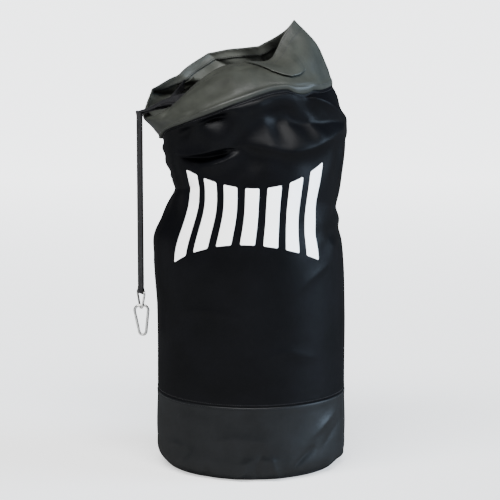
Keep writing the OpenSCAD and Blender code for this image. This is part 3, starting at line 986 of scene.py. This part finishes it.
def make_tapes(cloth):
    """The tapes that cover the seams inside, and the hem inside the rim."""
    half = TAPE_W / 2
    for name, t, node in (("band_seam_binding", BAND_TOP, "band_seam_tape"),
                          ("collar_seam_binding", PANEL_TOP, "collar_seam_tape")):
        rows = row_at(np.linspace(t - half, t + half, 9))
        strip(cloth, name, rows, ROUND_BAG, TAPE_OUT, TAPE_THICK, TAPE, "seam_tape", node)
    rows = row_at(np.arange(BAND_TOP + TAPE_W, PANEL_TOP - TAPE_W + 1, 2.0))
    strip(cloth, "back_seam_binding", rows, np.linspace(*BACK_TAPE, 9), TAPE_OUT, TAPE_THICK, TAPE,
          "seam_tape", "back_seam_tape", closed=False)
    rows = np.linspace(row_at(RIM_TOP - HEM_W), RIM_ROW, 15)
    # The hem gets the collar finish painted lighter, a painted fill light against the shade inside the
    # mouth.
    strip(cloth, "rim_hem_cloth", rows, ROUND_BAG, HEM_OUT + BAND_THICK, BAND_THICK, INSIDE_PAINTED_LIGHTER,
          "coated_fabric", "rim_hem")


# ---- print

FILM_OUT = 0.5
FILM_THICK = 0.4
BAR_CORNER = 3.0


def arc_height(arc, s):
    """Height of a bar's end at the place s across the print."""
    return arc[0] + arc[1] * s + arc[2] * s * s


def make_print(cloth):
    """Seven plain upright bars of transfer film with rounded corners, in one mesh."""
    points = []
    faces = []
    uvs = []
    per_degree = FLAT_GIRTH / 360
    pitch = BAR_W + BAR_GAP
    reach = (BAR_COUNT - 1) / 2 * pitch
    corner = np.array([0, 0.14, 0.35, 0.65]) * BAR_CORNER
    for k in range(BAR_COUNT):
        offset = (k - (BAR_COUNT - 1) / 2) * pitch
        middle = offset / reach
        high = arc_height(BAR_HIGH, middle)
        low = arc_height(BAR_LOW, middle)
        long = high - low
        straight = np.arange(BAR_CORNER, long - BAR_CORNER, 2.0)
        e = np.concatenate([corner, straight, long - corner[::-1]])
        from_end = np.clip(BAR_CORNER - np.minimum(e, long - e), 0, BAR_CORNER)
        half = BAR_W / 2 - BAR_CORNER + np.sqrt(BAR_CORNER ** 2 - from_end ** 2)
        x = offset + half[:, None] * np.linspace(-1, 1, 17)
        # Each end is cut along its arc, so the bar is a little longer on its outer side.
        low_x = arc_height(BAR_LOW, x / reach) - low
        high_x = arc_height(BAR_HIGH, x / reach) - high
        share = (e / long)[:, None]
        t = low + e[:, None] + low_x * (1 - share) + high_x * share
        u = PRINT_ANGLE + x / per_degree
        place, _ = cloth.sample(row_at(t), u, FILM_OUT)
        start = sum(len(p) for p in points)
        points.append(place.reshape(-1, 3))
        faces += [tuple(c + start for c in face) for face in grid_faces(*u.shape)]
        uvs.append(cloth_uv(u, t).reshape(-1, 2))
    cloth_piece("front_print_film", np.concatenate(points), np.concatenate(uvs), FILM, FILM_THICK,
                "print_film", "front_print", faces=faces)


# ---- webbing

SWING_AT = np.array([-203.0, -28.0, 655.0])
SWING_AXIS = unit(np.array([-0.5, 0.87, 0.0]))
SWING_OUT = np.array([-SWING_AXIS[1], SWING_AXIS[0], 0.0])
UP = np.array([0.0, 0.0, 1.0])
LOOP_Z = 324.0
LOOP_R = 3.35
LEG_END = SWING_AT - SWING_OUT * (STRAP_T + 1)
LAYER = np.array([0, 0, STRAP_T / 2 + 0.8])
LIP = np.array([-181.0, -15.0, 660.5])
WEB_THICK = 1.7
PLY = 0.95
JOIN_Z = 632.0
FRONT_PATH = [(-86, -59, 698), (-106, -34, 686), (-132, 2, 678), (-160, -3, 672)]
FRONT_SIDES = [(0.35, 0.3, 0.9), (0.35, 0.5, 0.8), (0, 0.8, 0.6), (-0.4, 0.9, 0.1)]
BACK_PATH = [(-125, 99, 697), (-132, 74, 686), (-142, 42, 671), (-160, 8, 662)]
BACK_SIDES = [(0.2, 0.3, 0.9), (0.1, 0.4, 0.9), (-0.2, 0.7, 0.5), (-0.4, 0.9, 0.1)]


def webbing(name, path, sides, body, per_step=10):
    """Flat webbing with round edges along a path. sides gives the direction of its width."""
    line = through(path, per_step)
    side = through(sides, per_step)
    ahead = unit(np.gradient(line, axis=0))
    side = unit(side - (side * ahead).sum(-1, keepdims=True) * ahead)
    face = np.cross(ahead, side)
    r = WEB_THICK / 2
    reach = STRAP_W / 2 - r
    flat = np.linspace(-1, 1, 9) * reach
    bend = np.radians(np.arange(1, 6) * 30)
    upper = np.concatenate([np.stack([flat, np.full(9, r)], 1),
                            np.stack([reach + r * np.sin(bend), r * np.cos(bend)], 1)])
    section = np.concatenate([upper, -upper])
    points = line[:, None] + side[:, None] * section[None, :, :1] + face[:, None] * section[None, :, 1:]
    girth = np.concatenate([[0], np.cumsum(np.linalg.norm(np.diff(section, axis=0), axis=1))])
    length = np.concatenate([[0], np.cumsum(np.linalg.norm(np.diff(line, axis=0), axis=1))])
    uv = np.stack(np.broadcast_arrays(girth[None, :], length[:, None]), -1) * MM
    count = len(section)
    last = (len(line) - 1) * count
    faces = [tuple(f)[::-1] for f in grid_faces(len(line), count, closed=True)]
    faces += [tuple(range(count)), tuple(last + i for i in range(count))[::-1]]
    return add_object(name, points, faces, body, WEBBING, uv), (line, ahead, side, face)


def around(a):
    """A direction across the swing's axis: outwards at 0, upwards at a quarter turn."""
    return math.cos(a) * SWING_OUT + math.sin(a) * UP


def make_webbing():
    """Two legs from their patches over the lip, and the folded end that holds the ring."""
    hang = SWING_AT * (1, 1, 0)
    over = [SWING_AT + 2.4 * around(a) for a in (1.35, 0.6, 0)]
    outer_end = [hang + PLY * SWING_OUT + z * UP for z in (648, 640, JOIN_Z)]
    under = [SWING_AT - 1.9 * SWING_OUT - 2.4 * UP, SWING_AT - 1.2 * SWING_OUT - 5 * UP]
    inner_end = [hang - PLY * SWING_OUT + z * UP for z in (644, 638, JOIN_Z)]
    front = [np.array(p, float) for p in FRONT_PATH] + [LIP + LAYER, LEG_END + LAYER] + over + outer_end
    back = [np.array(p, float) for p in BACK_PATH] + [LIP - LAYER, LEG_END - LAYER] + under + inner_end
    frames = {}
    for name, path, sides, node in (("front_strap_webbing", front, FRONT_SIDES, "front_strap_leg"),
                                    ("back_strap_webbing", back, BACK_SIDES, "back_strap_leg")):
        sides = sides + [SWING_AXIS] * (len(path) - len(sides))
        obj, frames[name] = webbing(name, path, sides, None)
        finish_piece(obj, "webbing", node)
        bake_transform(obj)
    heights = (JOIN_Z, 580, 500, 440, 400, 374, 356, 345, 338, 333)
    down = [hang + PLY * SWING_OUT + z * UP for z in heights]
    loop = [hang + LOOP_Z * UP + LOOP_R * around(a)
            for a in np.radians((48, 10, -30, -70, -110, -150, -190, -228))]
    up = [hang - PLY * SWING_OUT + z * UP for z in heights[::-1]]
    path = down + loop + up
    obj, _ = webbing("hanging_strap_webbing", path, [SWING_AXIS] * len(path), "strap", 6)
    finish_piece(obj, "webbing", "hanging_strap")
    return frames


PATCH_AT = 795
PATCH_HALF = 16
PATCH_HALF_ANGLE = 6
PATCH_OUT = -1.9
PATCH_THICK = 1.0


def make_patches(cloth):
    """The two patches inside the collar that the straps are sewn to."""
    for name, u, node in (("front_patch_cloth", 250, "front_strap_patch"),
                          ("back_patch_cloth", 130, "back_strap_patch")):
        rows = row_at(np.linspace(PATCH_AT - PATCH_HALF, PATCH_AT + PATCH_HALF, 20))
        angles = np.linspace(u - PATCH_HALF_ANGLE, u + PATCH_HALF_ANGLE, 20)
        strip(cloth, name, rows, angles, PATCH_OUT, PATCH_THICK, COLLAR, "coated_fabric", node,
              closed=False)


# ---- stitching

# How far down the hem its stitches run, in parts of its width.
HEM_STITCH = 0.85
# The sewn boxes: the point of a leg that its box is round, their width, and the end's box height.
BOX_POINT = 6
BOX_WIDE = 14
END_BOX_Z = 346
BAR_TACK = 8.5
STITCH_PITCH = 4.2
STITCH_LENGTH = 3.2
THREAD_R = 0.38
THREAD_SIDES = 6
# The rings of one stitch: place along it, size, and how far it stands up.
STITCH_RINGS = ((0, 0.45, -0.25), (0.12, 0.9, 0), (0.5, 1, 0.1), (0.88, 0.9, 0), (1, 0.45, -0.25))


class Stitches:
    """Collects stitches, each a short sunken length of thread, and makes one mesh of them."""

    def __init__(self):
        self.rows = []

    def round_seam(self, cloth, row, out=0.1):
        """A row of stitches round the bag."""
        line, _ = cloth.sample(row, ANGLES)
        girth = np.linalg.norm(np.roll(line, -1, 0) - line, axis=1).sum()
        count = int(girth / STITCH_PITCH)
        u = np.arange(count) * 360 / count
        starts, normals = cloth.sample(row, u, out)
        ends, _ = cloth.sample(row, u + 360 / count * STITCH_LENGTH / STITCH_PITCH, out)
        self.rows.append((starts, ends, normals))

    def up_seam(self, cloth, u, low, high, out=0.1):
        """A row of stitches up the bag between two fabric heights."""
        t = np.arange(low, high, STITCH_PITCH)
        starts, normals = cloth.sample(row_at(t), u, out)
        ends, _ = cloth.sample(row_at(t + STITCH_LENGTH), u, out)
        self.rows.append((starts, ends, normals))

    def straight(self, a, b, normal):
        """A row of stitches from point a to point b."""
        count = max(1, round(np.linalg.norm(b - a) / (0.8 * STITCH_PITCH)))
        f = np.arange(count)[:, None] / count
        step = (b - a) / count
        starts = a + f * (b - a)
        self.rows.append((starts, starts + 0.78 * step, np.broadcast_to(normal, starts.shape)))

    def box(self, centre, along, across, normal, long, wide):
        """A sewn box with a cross in it."""
        corners = [centre + along * x * long / 2 + across * y * wide / 2
                   for x, y in ((-1, -1), (1, -1), (1, 1), (-1, 1))]
        for i, j in ((0, 1), (1, 2), (2, 3), (3, 0), (0, 2), (1, 3)):
            self.straight(corners[i], corners[j], normal)

    def make(self, name, body):
        """One mesh of all the stitches, each with its ends sunk in the cloth."""
        starts, ends, normals = [np.concatenate(part) for part in zip(*self.rows)]
        ahead = unit(ends - starts)
        side = unit(np.cross(ahead, normals))
        up = np.cross(side, ahead)
        points = []
        for share, size, lift in STITCH_RINGS:
            centre = starts + share * (ends - starts) + lift * up * THREAD_R * 2
            for k in range(THREAD_SIDES):
                a = k * TAU / THREAD_SIDES
                points.append(centre + THREAD_R * size * (math.cos(a) * side + math.sin(a) * up))
        points = np.stack(points, 1)
        per = len(STITCH_RINGS) * THREAD_SIDES
        one = [tuple(f) for f in grid_faces(len(STITCH_RINGS), THREAD_SIDES, closed=True)]
        one += [tuple(range(THREAD_SIDES))[::-1], tuple(range(per - THREAD_SIDES, per))]
        faces = [tuple(c + s * per for c in face) for s in range(len(starts)) for face in one]
        obj = add_object(name, points, faces, body, THREAD)
        return finish_piece(obj, "seam_tape")


def make_stitching(cloth, frames):
    """The stitch lines outside and inside the bag, on the strap patches and on the strap's end."""
    seams = Stitches()
    for t in (6, BAND_TOP - 3, BAND_TOP + 4, PANEL_TOP - 5, PANEL_TOP + 9):
        seams.round_seam(cloth, row_at(t))
    hem = RIM_ROW - HEM_W * HEM_STITCH / (RIM_TOP - PANEL_TOP) * COLLAR_ROWS
    seams.round_seam(cloth, hem)
    seams.round_seam(cloth, RIM_ROW - 2)
    for u in (88.9, 91.1):
        seams.up_seam(cloth, u, BAND_TOP + 4, PANEL_TOP - 6)
    seams.make("seam_stitching", "bag")
    inside = Stitches()
    inside.round_seam(cloth, hem, HEM_OUT - 0.1)
    for t in (BAND_TOP - 7, BAND_TOP + 7, PANEL_TOP - 7, PANEL_TOP + 7):
        inside.round_seam(cloth, row_at(t), TAPE_OUT - TAPE_THICK - 0.1)
    inside.make("inside_stitching", "bag")
    legs = Stitches()
    for line, ahead, side, face in frames.values():
        for sign in (-1, 1):
            normal = sign * face[BOX_POINT]
            centre = line[BOX_POINT] + normal * WEB_THICK / 2
            legs.box(centre, ahead[BOX_POINT], side[BOX_POINT], normal, 18, BOX_WIDE)
    legs.make("patch_stitching", "bag")
    ends = Stitches()
    hang = SWING_AT * (1, 1, 0)
    for sign in (-1, 1):
        normal = sign * SWING_OUT
        face = hang + (PLY + WEB_THICK / 2) * normal
        ends.box(face + END_BOX_Z * UP, UP, SWING_AXIS, normal, 16, BOX_WIDE)
        for z in (JOIN_Z - 3, JOIN_Z - 1.5, JOIN_Z, JOIN_Z + 1.5):
            middle = face + z * UP
            ends.straight(middle - BAR_TACK * SWING_AXIS, middle + BAR_TACK * SWING_AXIS, normal)
    ends.make("strap_stitching", "strap")


# ---- stage, light and camera

CAMERA_DISTANCE = 3.7675
CAMERA_HEIGHT = 1.0212
CAMERA_DOWN = 9.41
CAMERA_LENS = 148.4
CAMERA_SHIFT = -0.002
# The world's light low down and high up, and between which heights of a direction it falls.
WORLD_LIGHT = (1.2, 0.2)
WORLD_FALL = (0.0, 0.3)
# The floor glows softly, more so far behind the bag, like a lit studio sweep.
FLOOR_GLOW = (0.7, 3.2)
FLOOR_FADE = (-0.4, 4.0)
FLOOR_REACH = 30000
KEY_PLACE = (-0.3, -1.4, 2.85)
KEY_AIM = (0, 0, 0.6)
KEY_SIZE = (3.2, 0.9)
KEY_LIGHT = 370
# Bluish light from a wide low window. Its width, height and place forward are in degrees.
WINDOW_LIGHT = 10.5
WINDOW_COLOUR = (0.6, 0.78, 1)
WINDOW_WIDTH = 36
WINDOW_HEIGHT = 13
WINDOW_FORWARD = 6


def make_camera():
    data = bpy.data.cameras.new("camera")
    data.sensor_width = 36
    data.lens = CAMERA_LENS
    data.shift_x = CAMERA_SHIFT
    camera = in_scene("camera", data)
    camera.location = (0, -CAMERA_DISTANCE, CAMERA_HEIGHT)
    camera.rotation_euler = (math.radians(90 - CAMERA_DOWN), 0, 0)
    bpy.context.scene.camera = camera


def make_light(name, kind, power, turn):
    """A lamp that shines down its own -Z, turned by angles in radians."""
    data = bpy.data.lights.new(name, kind)
    data.energy = power
    light = in_scene(name, data)
    light.rotation_euler = turn
    return light


def make_lights():
    """A long soft lamp above the front, and a window at the right."""
    toward = np.array(KEY_AIM) - np.array(KEY_PLACE)
    tilt = math.atan2(math.hypot(toward[0], toward[1]), -toward[2])
    turn = math.atan2(toward[1], toward[0]) - math.pi / 2
    key = make_light("key_light", "AREA", KEY_LIGHT, (tilt, 0, turn))
    key.location = KEY_PLACE
    key.data.shape = "RECTANGLE"
    key.data.size, key.data.size_y = KEY_SIZE
    turn = (0, math.radians(90 - WINDOW_HEIGHT), math.radians(-WINDOW_FORWARD))
    window = make_light("right_light", "SUN", WINDOW_LIGHT, turn)
    window.data.color = WINDOW_COLOUR
    window.data.angle = math.radians(WINDOW_WIDTH)


def graded(tree, coordinates, axis, span, values):
    """Goes from one value to another as a coordinate crosses a span."""
    split = tree.nodes.new("ShaderNodeSeparateXYZ")
    tree.links.new(tree.nodes.new("ShaderNodeTexCoord").outputs[coordinates], split.inputs[0])
    made = add_node(tree, "ShaderNodeMapRange", From_Min=span[0], From_Max=span[1],
                    To_Min=values[0], To_Max=values[1])
    tree.links.new(split.outputs[axis], made.inputs["Value"])
    return made.outputs[0]


def make_world():
    """Plain soft white light from everywhere, more of it from low down."""
    world = bpy.data.worlds.new("studio")
    world.use_nodes = True
    tree = world.node_tree
    background = set_inputs(tree.nodes["Background"], Color=grey(1))
    fall = graded(tree, "Generated", 2, WORLD_FALL, WORLD_LIGHT)
    tree.links.new(fall, background.inputs["Strength"])
    bpy.context.scene.world = world


def make_floor():
    """The plain pale floor."""
    mat, tree, shader = new_material("pale_floor")
    set_inputs(shader, Base_Color=grey(0.5), Roughness=0.8, Emission_Color=grey(1))
    glow = graded(tree, "Object", 1, FLOOR_FADE, FLOOR_GLOW)
    tree.links.new(glow, shader.inputs["Emission Strength"])
    corners = [(x * FLOOR_REACH, y * FLOOR_REACH, 0) for x, y in ((-1, -1), (1, -1), (1, 1), (-1, 1))]
    add_object("floor", corners, [(0, 1, 2, 3)], None, mat, smooth_shade=False)


def polish_metal():
    """Gives the ring, the hook and the gate their metal. Their CAD shapes stay."""
    for name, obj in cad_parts.items():
        if any(word in name for word in ("ring", "hook", "gate")):
            obj.data.materials.clear()
            obj.data.materials.append(STEEL)


make_camera()
grid, height = sculpted()
grid = relaxed(grid, height)
cloth = Cloth(grid)
make_base(cloth)
make_base_binding()
make_panels(cloth)
make_tapes(cloth)
make_print(cloth)
make_patches(cloth)
make_stitching(cloth, make_webbing())
polish_metal()
make_floor()
make_world()
make_lights()
